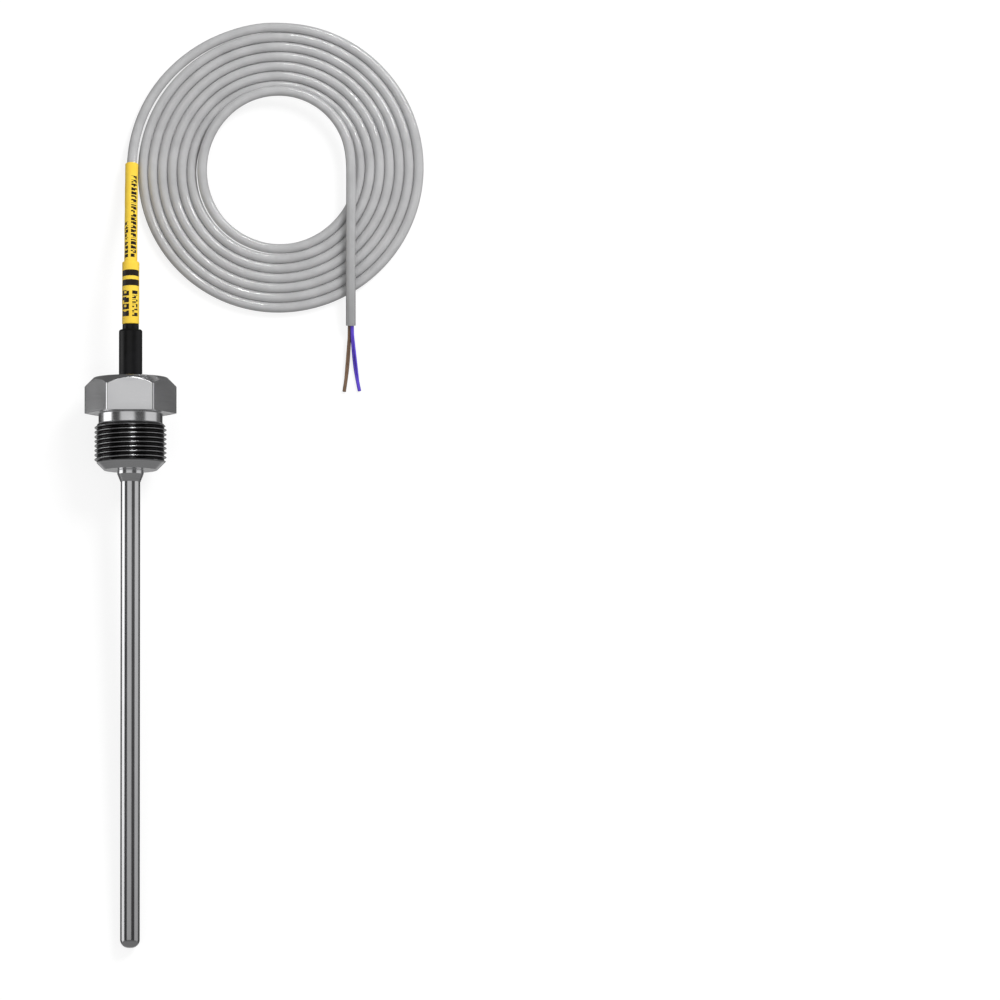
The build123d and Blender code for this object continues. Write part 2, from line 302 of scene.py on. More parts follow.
# Rows from the bore's top edge over the top face, chamfer, flats and sealing face to the neck.
# The chamfer is a 45 degree cone, so it cuts the flats along arcs: the drop grows with the radius.
# Each broken edge is a few rows close together, as steps inwards and downwards from the sharp edge.
def hexagonRows(angle):
    flat = hexagonRadius(angle)
    land, top, edge = fitting["land"] / 2, fitting["height"], fitting["edgeBreak"]
    neck, low, bend = fitting["neck"] / 2, -fitting["neckLength"], fitting["neckRound"]
    full = np.ones_like(flat)
    rows = [(radius * full, top * full) for radius in (fitting["bore"] / 2, *fitting["topRings"])]
    for inwards, below in ((0.12, 0.0), (0.04, 0.005), (-0.03, 0.05)):
        rows.append(((land - inwards) * full, (top - below) * full))
    for share in (0.1, 0.5, 0.9):
        rows.append((land + (flat - land) * share, top - (flat - land) * share))
    for inwards, below in ((0.05, -0.05), (0.01, 0.0), (0.0, edge / 2), (0.0, edge)):
        rows.append((flat - inwards, top - (flat - land) - below))
    foot = top - (flat - land) - edge
    for share in (0.25, 0.5, 0.75):
        rows.append((flat, foot * (1 - share) + edge * 1.6 * share))
    for inwards, above in ((0.0, 1.3), (0.12, 0.55), (0.55, 0.12), (1.3, 0.0)):
        rows.append((flat - inwards * edge, above * edge * full))
    for outwards in (1.4, bend + 0.05):
        rows.append(((neck + outwards) * full, 0 * full))
    for turn in np.linspace(0, pi / 2, 5):
        rows.append(((neck + bend * (1 - sin(turn))) * full, -bend * (1 - cos(turn)) * full))
    rows += [(neck * full, share * low * full) for share in (0.2, 0.6, 1.0)]
    return np.array([row[0] for row in rows]), np.array([row[1] for row in rows])


# The sixty degree profile: the radius at a distance from the crest's middle, with a flat crest
# of an eighth of the pitch and a flat root
def threadRadius(off):
    pitch, crest = fitting["pitch"], fitting["major"] / 2
    root = crest - 5 / 8 * pitch * cos(pi / 6)
    return np.clip(crest - (np.abs(off) - pitch / 16) / tan(pi / 6), root, crest)


# The thread as one strip that climbs once round per pitch. Across the strip the radius follows
# the profile, blurred a little, and at both ends a 45 degree cone cuts it back to the stud.
def threadGrid(angles):
    pitch, blur = fitting["pitch"], fitting["crestRound"]
    low, high = -fitting["stud"], -fitting["neckLength"]
    turns = int(np.ceil((high - low) / pitch)) + 3
    start = high + (1.5 - turns) * pitch
    angle = (np.arange(turns)[:, None] * 2 * pi + angles).ravel()
    angle = np.append(angle, turns * 2 * pi)[:, None]
    side = np.array(fitting["threadColumns"]) * pitch
    across = np.r_[-side[::-1], 0, side][None, :]
    profile = (threadRadius(across - blur) + 2 * threadRadius(across) + threadRadius(across + blur)) / 4
    s = np.clip(start + angle / (2 * pi) * pitch + across, low, high)
    radius = np.minimum(profile, fitting["studEnd"] / 2 + s - low)
    radius = np.minimum(radius, fitting["neck"] / 2 + high - s)
    outwards = np.cos(angle)[..., None] * sideways + np.sin(angle)[..., None] * downwards
    points = seal + (outwards * radius[..., None] + along * s[..., None]) * mm
    u, v = np.broadcast_arrays(angle / (2 * pi), s * mm)
    return gridFaces(points, u, v, ring=False)


def makeFitting():
    angles = fittingAngles()
    stud, nose = -fitting["stud"], fitting["nose"] / 2
    noseEnd = stud - fitting["noseLength"]
    tip = noseEnd - fitting["cone"]
    end = outline([(fitting["studEnd"] / 2, stud, 0), (nose, stud, 0.15), (nose, noseEnd, 0.1),
                   (fitting["coneEnd"] / 2, tip, 0.03), (fitting["bore"] / 2, tip, 0),
                   (fitting["bore"] / 2, fitting["height"], 0)])
    grids = [turnedGrid(angles, *hexagonRows(angles)), threadGrid(angles),
             turnedGrid(angles, end[:, :1], end[:, 1:])]
    return meshPiece("threadedFitting", grids, 32)


# Probe tube: bright drawn tube, shut by a round end
tube = {
    "radius": 3.0, "wall": 0.5, "endWall": 0.6, "endRound": 2.5, "tip": -165.0, "top": 23.0,
    "seat": 2.8, "seatGap": 0.02,  # drawn down from the nose up, where a shoulder rests on it
    "rows": 36, "columns": 96, "roundSteps": 14,
}


def makeTube():
    radius, inner, tip = tube["radius"], tube["radius"] - tube["wall"], tube["tip"]
    floor = tip + tube["endWall"]
    innerRound = tube["endRound"] - tube["wall"]
    held = -fitting["stud"] - fitting["noseLength"] - fitting["cone"] - tube["seatGap"]
    stops = np.linspace(tip + tube["endRound"] + 1, held, tube["rows"])
    outer = [(radius, s, 0) for s in stops] + [(tube["seat"], held, 0), (tube["seat"], tube["top"], 0.05)]
    line = outline([(0.0, tip, 0), (radius, tip, tube["endRound"]), *outer,
                    (inner, tube["top"], 0), (inner, floor, innerRound), (0.0, floor, 0)],
                   steps=tube["roundSteps"])
    angle = np.arange(tube["columns"]) * 2 * pi / tube["columns"]
    return meshPiece("probeTube", [turnedGrid(angle, line[:, :1], line[:, 1:])], 35)


# Strain relief: moulded rubber boot with a narrower collar
boot = {
    "radius": 3.6, "length": 15.0, "round": 0.65, "footRound": 0.12,
    "neckRadius": 2.525, "neckLength": 1.7, "neckRound": 0.25, "neckFoot": 0.2,
    "tubeBore": 2.82, "cableBore": 1.52, "mouthRound": 0.08,
}


def makeBoot():
    low, top = fitting["height"], fitting["height"] + boot["length"]
    end = top + boot["neckLength"]
    return turnedPiece("reliefBoot", [
        (boot["tubeBore"], low, 0),
        (boot["radius"], low, boot["footRound"]),
        (boot["radius"], (low + top) / 2, 0),
        (boot["radius"], top, boot["round"]),
        (boot["neckRadius"], top, boot["neckFoot"]),
        (boot["neckRadius"], end, boot["neckRound"]),
        (boot["cableBore"], end, boot["mouthRound"]),
        (boot["cableBore"], tube["top"], 0),
        (boot["tubeBore"], tube["top"], 0),
    ])


threadedFitting, probeTube, reliefBoot = makeFitting(), makeTube(), makeBoot()
print("rigid pieces made")


# How far along a line of points each of its points lies
def wayAlong(line):
    return np.r_[0, np.cumsum(np.linalg.norm(np.diff(line, axis=0), axis=1))]


# A profile of (way along, radius) rows in metres, carried along a line of points. The rings
# stand square to the line and keep one side towards the reference direction, so nothing twists.
# A wave may vary the radius, and an offset may shift each ring sideways and up.
def tubeGrid(line, profile, reference, columns, wave=None, offset=None):
    reach = 2e-4                   # how far before and after a place the direction is taken
    way, place, radius = wayAlong(line), profile[:, 0], profile[:, 1]
    behind, centre, ahead = (
        np.stack([np.interp(place + shift, way, line[:, k]) for k in range(3)], -1)
        for shift in (-reach, 0, reach))
    tangent = ahead - behind
    tangent /= np.linalg.norm(tangent, axis=1)[:, None]
    side = np.cross(np.array(reference, float), tangent)
    side /= np.linalg.norm(side, axis=1)[:, None]
    up = np.cross(tangent, side)
    if offset is not None:
        centre = centre + side * offset[0][:, None] + up * offset[1][:, None]
    angle = np.arange(columns) * 2 * pi / columns
    rings = radius[:, None] + (wave(place[:, None], angle[None, :]) if wave else 0)
    points = centre[:, None, :] + rings[..., None] * (
        np.cos(angle)[None, :, None] * side[:, None, :] + np.sin(angle)[None, :, None] * up[:, None, :])
    u = np.append(angle, 2 * pi)[None, :] / (2 * pi)
    return gridFaces(points, *np.broadcast_arrays(u, place[:, None]))


# Marker sleeves: shrunk on the cable, the lower one over the upper one
sleeves = {
    "lowerEnd": (0.0, 115.5, 13.085), "upperEnd": (0.13, 147.6, 3.504),
    "lowerRadius": 2.63, "upperRadius": 2.0, "cableBore": 1.52, "gap": 0.02,
    "cutRound": 0.16, "innerRound": 0.05,
    "ringStep": 0.5, "columns": 64,
    "searched": 200,               # points of the cable's line among which an end is looked for
    "ripple": 0.018,               # how far the shrunk skin strays from round
    "waves": [(1.0, 0.55, 2, 0.0), (0.7, 1.3, -3, 1.2)],  # share, per mm along, per turn, start
}


# A shrunk skin is not quite round: a sum of slow sines along and round it
def shrinkWave(place, angle):
    slow = sum(share * np.sin(place / mm * perMm + perTurn * angle + start)
               for share, perMm, perTurn, start in sleeves["waves"])
    return slow * sleeves["ripple"] * mm


def makeSleeve(name, inner, outer, end):
    near = np.linalg.norm(cableLine[:sleeves["searched"]] - np.array(end) * mm, axis=1)
    length = wayAlong(cableLine)[np.argmin(near)] / mm
    line = outline([(0.0, inner, 0), (0.0, outer, sleeves["cutRound"]), (length, outer, sleeves["cutRound"]),
                    (length, inner, sleeves["innerRound"]), (0.0, inner, 0)])
    dense = [line[0]]
    for a, b in zip(line, line[1:]):
        count = max(1, int(abs(b[0] - a[0]) / sleeves["ringStep"]))
        dense += [a + (b - a) * (k + 1) / count for k in range(count)]
    grid = tubeGrid(cableLine, np.array(dense) * mm, sideways, sleeves["columns"], shrinkWave)
    return meshPiece(name, [grid], 40)


upperSleeve = makeSleeve("upperSleeve", sleeves["cableBore"], sleeves["upperRadius"], sleeves["upperEnd"])
lowerSleeve = makeSleeve("lowerSleeve", sleeves["upperRadius"] + sleeves["gap"], sleeves["lowerRadius"],
                         sleeves["lowerEnd"])


# Bared core: insulation with a clean cut, and a bundle of seven twisted strands in it
def makeCore(colour):
    upwards = (0, 0, 1)
    line = splineLine(cutEnd + np.array(cores[colour]) * mm, 24)
    length = wayAlong(line)[-1] / mm
    corners = [(0.0, cores["bore"], 0), (0.0, cores["radius"], 0)]
    corners += [(share * length, cores["radius"], 0) for share in np.linspace(0.05, 0.95, 30)]
    corners += [(length, cores["radius"], cores["cutRound"]), (length, cores["bore"], 0.03), corners[0]]
    skin = meshPiece(f"{colour}Core", [tubeGrid(line, outline(corners) * mm, upwards, cores["sides"])], 40)
    place = np.linspace(0, length - cores["recess"], cores["rings"]) * mm
    profile = np.stack([place, np.full(cores["rings"], cores["strandRadius"] * mm)], -1)
    profile = np.vstack([[place[0], 0.0], profile, [place[-1], 0.0]])
    grids = [tubeGrid(line, profile, upwards, cores["strandSides"])]
    for k in range(6):
        turn = profile[:, 0] / mm / cores["layLength"] * 2 * pi + k * pi / 3
        shift = (np.cos(turn) * cores["strandCircle"] * mm, np.sin(turn) * cores["strandCircle"] * mm)
        grids.append(tubeGrid(line, profile, upwards, cores["strandSides"], offset=shift))
    strands = meshPiece(f"{colour}Strands", grids, 40)
    return skin, strands


brownCore, brownStrands = makeCore("brown")
blueCore, blueStrands = makeCore("blue")
print("cord pieces made")


# Adds a node and links or sets its inputs. Values that are sockets are linked.
def addNode(tree, kind, inputs=None, **settings):
    node = tree.nodes.new(kind)
    for name, value in settings.items():
        setattr(node, name, value)
    for name, value in (inputs or {}).items():
        if isinstance(value, bpy.types.NodeSocket):
            tree.links.new(value, node.inputs[name])
        else:
            node.inputs[name].default_value = value
    return node


def maths(tree, operation, *values):
    return addNode(tree, "ShaderNodeMath", dict(enumerate(values)), operation=operation).outputs[0]


# A colour ramp from (place, colour or grey) stops
def ramp(tree, factor, stops):
    node = addNode(tree, "ShaderNodeValToRGB", {0: factor})
    elements = node.color_ramp.elements
    while len(elements) < len(stops):
        elements.new(0.5)
    for element, (place, colour) in zip(elements, stops):
        element.position = place
        element.color = (colour, colour, colour, 1) if isinstance(colour, float) else (*colour, 1)
    return node.outputs[0]


# A value that goes from first to last, evenly, while what it reads goes from low to high
def ranged(tree, value, low, high, first, last):
    return addNode(tree, "ShaderNodeMapRange", {0: value, 1: low, 2: high, 3: first, 4: last}).outputs[0]


# A factor that climbs from 0 to 1 between two values of what it reads
def climb(tree, value, low, high):
    return ranged(tree, value, low, high, 0.0, 1.0)


def opposite(tree, factor):
    return maths(tree, "SUBTRACT", 1.0, factor)


# Where something is read from: the piece's own UV or its place in the frame, scaled
def placed(tree, source, scale=(1, 1, 1), move=(0, 0, 0)):
    coordinate = addNode(tree, "ShaderNodeTexCoord").outputs[source]
    return addNode(tree, "ShaderNodeMapping", {0: coordinate, 1: move, 3: scale}).outputs[0]


# Shared effects, each a node group with named inputs and outputs
def newGroup(name, inputs, outputs):
    group = bpy.data.node_groups.new(name, "ShaderNodeTree")
    for direction, sockets in (("INPUT", inputs), ("OUTPUT", outputs)):
        for socket, kind, *default in sockets:
            made = group.interface.new_socket(name=socket, in_out=direction, socket_type="NodeSocket" + kind)
            if default:
                made.default_value = default[0]
    return group, group.nodes.new("NodeGroupInput").outputs, group.nodes.new("NodeGroupOutput").inputs


# Tool marks: fine lines across the given coordinate, with patches where they are fainter
def toolMarksGroup():
    group, given, gives = newGroup(
        "toolMarks",
        [("Vector", "Vector"), ("Scale", "Float", 1.0), ("Patches", "Float", 60.0)],
        [("Height", "Float"), ("Shade", "Float")])
    fine = addNode(group, "ShaderNodeTexNoise", {"Vector": given["Vector"], "Scale": given["Scale"],
                                                 "Detail": 3.0, "Roughness": 0.6})
    place = addNode(group, "ShaderNodeTexCoord").outputs["Object"]
    patch = addNode(group, "ShaderNodeTexNoise", {"Vector": place, "Scale": given["Patches"], "Detail": 2.0})
    strength = ranged(group, patch.outputs[0], 0.35, 0.65, 0.45, 1.0)
    height = maths(group, "MULTIPLY", fine.outputs[0], strength)
    group.links.new(height, gives["Height"])
    group.links.new(maths(group, "ADD", patch.outputs[0], fine.outputs[0]), gives["Shade"])
    return group


# Skin: the slow unevenness of moulded, drawn or shrunk plastic, and its fine grain
def skinGroup():
    group, given, gives = newGroup(
        "plasticSkin",
        [("Coarse", "Float", 400.0), ("Fine", "Float", 3000.0), ("Grain", "Float", 0.3)],
        [("Height", "Float"), ("Shade", "Float")])
    place = addNode(group, "ShaderNodeTexCoord").outputs["Object"]
    slow = addNode(group, "ShaderNodeTexNoise", {"Vector": place, "Scale": given["Coarse"], "Detail": 2.0})
    fine = addNode(group, "ShaderNodeTexNoise", {"Vector": place, "Scale": given["Fine"], "Detail": 3.0})
    grain = maths(group, "MULTIPLY", fine.outputs[0], given["Grain"])
    group.links.new(maths(group, "ADD", slow.outputs[0], grain), gives["Height"])
    group.links.new(slow.outputs[0], gives["Shade"])
    return group


toolMarks, plasticSkin = toolMarksGroup(), skinGroup()


# A material with an empty tree but for its shader, whose sockets may be given by name
def newMaterial(name, **sockets):
    material = bpy.data.materials.new(name)
    material.use_nodes = True
    tree = material.node_tree
    tree.nodes.clear()
    values = {key.replace("_", " "): value for key, value in sockets.items()}
    shader = addNode(tree, "ShaderNodeBsdfPrincipled", values)
    addNode(tree, "ShaderNodeOutputMaterial", {0: shader.outputs[0]})
    return material, tree, shader


def placeGroup(tree, group, inputs):
    return addNode(tree, "ShaderNodeGroup", inputs, node_tree=group).outputs


# Links what changes over the surface: its colour, its roughness and the height that bends its light
def finishSurface(tree, shader, colour, rough, height, distance):
    bump = addNode(tree, "ShaderNodeBump", {"Height": height, "Distance": distance, "Strength": 1.0})
    for name, socket in (("Base Color", colour), ("Roughness", rough), ("Normal", bump.outputs[0])):
        tree.links.new(socket, shader.inputs[name])


# Both greys, the roughness, the scale of the tool marks round and along, and how high they stand
metals = {
    "turnedSteel": {
        "dark": (0.60, 0.60, 0.61), "light": (0.70, 0.70, 0.71), "rough": (0.13, 0.24),
        "lines": (3.0, 9000.0, 1.0), "bump": 2.2e-6,
        # painted shade in the thread: where along the axis it darkens, the radii of root and crest, and the
        # share each keeps
        "paintedGrooveShade": {"span": (-15.4, -15.0, -3.6, -3.1), "depth": (10.4, 11.1), "share": (0.03, 0.7)},
    },
    "drawnSteel": {
        "dark": (0.56, 0.56, 0.57), "light": (0.63, 0.63, 0.64), "rough": (0.10, 0.18),
        "lines": (500.0, 60.0, 1.0), "bump": 1.2e-6,
        # painted shade: the tube greyer towards its tip
        "shadeFade": {"span": (-165.0, -40.0), "share": 0.60, "end": (-163.4, -162.4)},
    },
}
plastics = {
    "mouldedRubber": {"dark": (0.005, 0.005, 0.005), "light": (0.009, 0.009, 0.010), "rough": (0.30, 0.40),
                      "coarse": 260.0, "fine": 2600.0, "bump": 1.5e-5, "specular": 0.22},
    "greyJacket": {"dark": (0.44, 0.44, 0.445), "light": (0.50, 0.50, 0.505), "rough": (0.09, 0.13),
                   "coarse": 180.0, "fine": 2200.0, "bump": 0.25e-5,
                   # painted shade on the tail: greyer towards its cut end
                   "paintedTailShade": {"bend": 105.2, "slope": 0.258, "x": 67.7, "span": (97.6, 150.0),
                               "share": 0.70, "above": (3.05, 3.2), "aside": (2.0, 3.0)}},
    "brownInsulation": {"dark": (0.15, 0.092, 0.055), "light": (0.21, 0.13, 0.08), "rough": (0.34, 0.44),
                        "coarse": 500.0, "fine": 4000.0, "bump": 8e-6},
    "blueInsulation": {"dark": (0.09, 0.045, 0.52), "light": (0.13, 0.07, 0.68), "rough": (0.34, 0.44),
                       "coarse": 500.0, "fine": 4000.0, "bump": 8e-6},
}


# Where along the axis a point of the surface lies, in metres from the sealing face, and how far
# from the axis: the part of (place - seal) along the axis, and the length of its cross product with it
def axisPlace(tree):
    inputs = {0: placed(tree, "Object", move=tuple(-seal)), 1: tuple(along)}
    s = addNode(tree, "ShaderNodeVectorMath", inputs, operation="DOT_PRODUCT").outputs[1]
    turned = addNode(tree, "ShaderNodeVectorMath", inputs, operation="CROSS_PRODUCT").outputs[0]
    return s, addNode(tree, "ShaderNodeVectorMath", {0: turned}, operation="LENGTH").outputs[1]


# Two colours mixed by a factor, or multiplied where that is asked
def mixed(tree, factor, first, second, blend="MIX"):
    inputs = {0: factor, 6: first, 7: second}
    return addNode(tree, "ShaderNodeMix", inputs, data_type="RGBA", blend_type=blend).outputs[2]


def multiplied(tree, colour, share):
    grey = addNode(tree, "ShaderNodeCombineXYZ", {0: share, 1: share, 2: share}).outputs[0]
    return mixed(tree, 1.0, colour, grey, "MULTIPLY")


# Painted shade: the thread's steel is darker than the rest of the fitting's, and darkest at the root of its
# grooves, where shade falls
def grooveShadeShare(tree, paintedGrooveShade):
    s, distance = axisPlace(tree)
    span = [value * mm for value in paintedGrooveShade["span"]]
    within = maths(tree, "MULTIPLY", climb(tree, s, *span[:2]), opposite(tree, climb(tree, s, *span[2:])))
    root, crest = (value * mm for value in paintedGrooveShade["depth"])
    share = ranged(tree, distance, root, crest, *paintedGrooveShade["share"])
    return opposite(tree, maths(tree, "MULTIPLY", within, opposite(tree, share)))


# Painted shade: the tube is a little greyer towards its tip, but not on the round end itself
def tipShadeShare(tree, shadeFade):
    s, _ = axisPlace(tree)
    low, high = (value * mm for value in shadeFade["span"])
    share = ranged(tree, s, low, high, shadeFade["share"], 1.0)
    end = [value * mm for value in shadeFade["end"]]
    return maths(tree, "MAXIMUM", share, opposite(tree, climb(tree, s, *end)))


# Painted shade: the jacket's tail is a little greyer towards its cut end. The tail is the part that lies
# higher than the
# coil: its height is counted from its own slope past the point "bend".
def tailShadeShare(tree, paintedTailShade):
    place = addNode(tree, "ShaderNodeTexCoord").outputs["Object"]
    x, y, z = addNode(tree, "ShaderNodeSeparateXYZ", {0: place}).outputs
    past = maths(tree, "MAXIMUM", maths(tree, "SUBTRACT", paintedTailShade["bend"] * mm, y), 0.0)
    height = maths(tree, "ADD", z, maths(tree, "MULTIPLY", past, paintedTailShade["slope"]))
    aside = maths(tree, "ABSOLUTE", maths(tree, "SUBTRACT", x, paintedTailShade["x"] * mm))
    above = climb(tree, height, *(value * mm for value in paintedTailShade["above"]))
    beside = climb(tree, aside, *(value * mm for value in paintedTailShade["aside"]))
    onTail = maths(tree, "MULTIPLY", above, opposite(tree, beside))
    low, high = (value * mm for value in paintedTailShade["span"])
    shadeFade = ranged(tree, y, low, high, 1.0 - paintedTailShade["share"], 0.0)
    return opposite(tree, maths(tree, "MULTIPLY", onTail, shadeFade))


# Metal: two close greys and roughness from the marks, which also feed the bump
def metalMaterial(name):
    look = metals[name]
    material, tree, shader = newMaterial(name, Metallic=1.0, IOR=2.5)
    marks = placeGroup(tree, toolMarks, {"Vector": placed(tree, "UV", look["lines"]), "Scale": 1.0})
    colour = ramp(tree, marks["Shade"], [(0.7, look["dark"]), (1.0, look["light"])])
    # painted shade in the thread's grooves
    if "paintedGrooveShade" in look:
        colour = multiplied(tree, colour, grooveShadeShare(tree, look["paintedGrooveShade"]))
    # painted shade along the tube, greyer towards its tip
    if "shadeFade" in look:
        colour = multiplied(tree, colour, tipShadeShare(tree, look["shadeFade"]))
    rough = ranged(tree, marks["Shade"], 0.7, 1.3, *look["rough"])
    finishSurface(tree, shader, colour, rough, marks["Height"], look["bump"])
    return material


# The colour and roughness of a plastic skin, both following its slow unevenness
def skinLooks(tree, skin, look):
    colour = ramp(tree, skin["Shade"], [(0.3, look["dark"]), (0.7, look["light"])])
    return colour, ranged(tree, skin["Shade"], 0.3, 0.7, *look["rough"])


def plasticMaterial(name):
    look = plastics[name]
    material, tree, shader = newMaterial(name, IOR=1.5, Specular_IOR_Level=look.get("specular", 0.5))
    skin = placeGroup(tree, plasticSkin, {"Coarse": look["coarse"], "Fine": look["fine"]})
    colour, rough = skinLooks(tree, skin, look)
    # painted shade on the tail, greyer towards its cut end
    if "paintedTailShade" in look:
        colour = multiplied(tree, colour, tailShadeShare(tree, look["paintedTailShade"]))
    finishSurface(tree, shader, colour, rough, skin["Height"], look["bump"])
    return material


# Print on a sleeve: rows of small generic marks along it. Each mark is a cell with a gap after it,
# and is split into parts, so many across and along, that are inked or bare by chance. u is 0 where
# the sleeve faces up, and the row lies between two of its values.
def printRow(tree, u, v, row):
    partsAcross, partsAlong = row["parts"]
    across = maths(tree, "MULTIPLY", climb(tree, u, *row["u"]), partsAcross)
    cells = maths(tree, "DIVIDE", maths(tree, "SUBTRACT", v, row["from"] * mm), row["cell"] * mm)
    within = maths(tree, "FRACT", cells)
    fine = maths(tree, "FLOOR", maths(tree, "MULTIPLY", cells, partsAlong))
    place = addNode(tree, "ShaderNodeCombineXYZ", {0: maths(tree, "FLOOR", across), 1: fine, 2: row["seed"]})
    chance = addNode(tree, "ShaderNodeTexWhiteNoise", {"Vector": place.outputs[0]}, noise_dimensions="3D")
    inked = maths(tree, "LESS_THAN", chance.outputs[0], row["share"])
    limits = ((u, *row["u"]), (v, row["from"] * mm, row["to"] * mm), (within, 0.0, row["fill"]))
    for value, low, high in limits:
        inked = maths(tree, "MULTIPLY", inked, maths(tree, "GREATER_THAN", value, low))
        inked = maths(tree, "MULTIPLY", inked, maths(tree, "LESS_THAN", value, high))
    return inked


sleeveYellow = {"dark": (0.97, 0.64, 0.05), "light": (1.0, 0.72, 0.07), "ink": (0.014, 0.009, 0.006),
                "rough": (0.42, 0.52), "coarse": 220.0, "fine": 2500.0, "bump": 1.4e-5}
upperPrint = [
    {"u": (-0.18, -0.07), "parts": (3, 3), "cell": 1.35, "fill": 0.78, "share": 0.74, "seed": 3.0,
     "from": 20.6, "to": 32.7},
    {"u": (0.0, 0.15), "parts": (3, 3), "cell": 1.35, "fill": 0.78, "share": 0.76, "seed": 41.0,
     "from": 20.6, "to": 48.9},
]
lowerPrint = [
    {"u": (-0.2, 0.2), "parts": (1, 1), "cell": 3.0, "fill": 0.62, "share": 2.0, "seed": 1.0,
     "from": 11.6, "to": 17.4},
    {"u": (-0.19, -0.03), "parts": (3, 3), "cell": 2.1, "fill": 0.80, "share": 0.80, "seed": 12.0,
     "from": 2.2, "to": 10.6},
    {"u": (0.03, 0.15), "parts": (3, 3), "cell": 1.35, "fill": 0.78, "share": 0.72, "seed": 77.0,
     "from": 2.2, "to": 10.3},
]


def sleeveMaterial(name, rows):
    look = sleeveYellow
    material, tree, shader = newMaterial(name, IOR=1.5)
    skin = placeGroup(tree, plasticSkin, {"Coarse": look["coarse"], "Fine": look["fine"]})
    colour, rough = skinLooks(tree, skin, look)
    surface = addNode(tree, "ShaderNodeSeparateXYZ", {0: addNode(tree, "ShaderNodeTexCoord").outputs["UV"]})
    u = maths(tree, "WRAP", surface.outputs[0], 0.5, -0.5)
    v = surface.outputs[1]
    mask = printRow(tree, u, v, rows[0])
    for row in rows[1:]:
        mask = maths(tree, "MAXIMUM", mask, printRow(tree, u, v, row))
    colour = mixed(tree, mask, colour, (*look["ink"], 1))
    finishSurface(tree, shader, colour, rough, skin["Height"], look["bump"])
    return material


# Pieces sealed in the tube, and the strands: (colour, metallic, roughness, grain size)
innerLooks = {
    "whiteCeramic": ((0.82, 0.81, 0.77), 0.0, 0.5, 900.0),
    "leadGlass": ((0.30, 0.42, 0.36), 0.0, 0.12, 700.0),
    "whiteCompound": ((0.80, 0.80, 0.78), 0.0, 0.75, 1500.0),
    "castResin": ((0.06, 0.06, 0.065), 0.0, 0.25, 500.0),
    "platedWire": ((0.70, 0.70, 0.67), 1.0, 0.25, 2500.0),
    "clearSleeve": ((0.72, 0.70, 0.64), 0.0, 0.3, 1200.0),
    "tinnedMetal": ((0.72, 0.70, 0.66), 1.0, 0.35, 1500.0),
    "blackSleeve": ((0.03, 0.03, 0.03), 0.0, 0.5, 1200.0),
    "copperStrand": ((0.80, 0.42, 0.26), 1.0, 0.28, 3000.0),
}


innerSpread = {"dark": 0.85, "rough": (0.9, 1.1), "finer": 4, "bump": 4e-6}


def innerMaterial(name):
    colour, metallic, rough, grain = innerLooks[name]
    material, tree, shader = newMaterial(name, Metallic=metallic)
    skin = placeGroup(tree, plasticSkin, {"Coarse": grain, "Fine": grain * innerSpread["finer"]})
    look = {"dark": tuple(part * innerSpread["dark"] for part in colour), "light": colour,
            "rough": [rough * share for share in innerSpread["rough"]]}
    finishSurface(tree, shader, *skinLooks(tree, skin, look), skin["Height"], innerSpread["bump"])
    return material


materials = {name: metalMaterial(name) for name in metals}
materials.update({name: plasticMaterial(name) for name in plastics})
materials.update({name: innerMaterial(name) for name in innerLooks})
materials["upperYellow"] = sleeveMaterial("upperYellow", upperPrint)
materials["lowerYellow"] = sleeveMaterial("lowerYellow", lowerPrint)
print("materials made")


# Each new piece: its material, the record's slot and the CAD nodes that it stands for
dressed = [
    (threadedFitting, "turnedSteel", "fitting_steel", ["threaded_fitting"]),
    (probeTube, "drawnSteel", "tube_steel", ["probe_tube"]),
    (reliefBoot, "mouldedRubber", "boot_rubber", ["strain_relief_boot"]),
    (cableCord, "greyJacket", "cable_jacket", ["cable_run", "cable_coil", "cable_tail"]),
    (upperSleeve, "upperYellow", "sleeve_yellow", ["marker_sleeve_upper"]),
    (lowerSleeve, "lowerYellow", "sleeve_yellow", ["marker_sleeve_lower"]),
    (brownCore, "brownInsulation", "core_brown", ["core_brown_end"]),
    (blueCore, "blueInsulation", "core_blue", ["core_blue_end"]),
    (brownStrands, "copperStrand", "copper", ["conductor_brown_end"]),
    (blueStrands, "copperStrand", "copper", ["conductor_blue_end"]),
]
for piece, material, slot, stoodFor in dressed:
    piece.data.materials.append(materials[material])
    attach(piece, "root")
    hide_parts(*stoodFor)

sealed = {
    "sensing_chip": "whiteCeramic", "chip_glaze": "leadGlass", "tip_filler": "whiteCompound",
    "cable_seal": "castResin", "inner_jacket": "greyJacket",
    "chip_lead_": "platedWire", "lead_sleeve_": "clearSleeve", "splice_sleeve_": "blackSleeve",
    "splice_": "tinnedMetal", "conductor_": "copperStrand",
    "core_brown": "brownInsulation", "core_blue": "blueInsulation",
}
stoodForAll = {node for row in dressed for node in row[3]}
for node in nodes:
    if node not in stoodForAll:
        look = next(look for start, look in sealed.items() if node.startswith(start))
        nodes[node].data.materials.clear()
        nodes[node].data.materials.append(materials[look])

print("pieces dressed")


# What gloss reflects. Round the sensor's length, in degrees from straight up towards +X, there are
# strip lights and dark flags, as beside a studio table.
bands = [(-180, 0.06), (-140, 0.06), (-130, 0.185), (-116, 0.185), (-109, 1.75), (-75, 1.75), (-69, 0.09),
         (-40, 0.09), (-33, 0.74), (13, 0.70), (18, 0.10), (51, 0.10), (58, 0.8), (105, 0.75), (112, 0.16),
         (130, 0.16), (140, 0.06), (180, 0.06)]
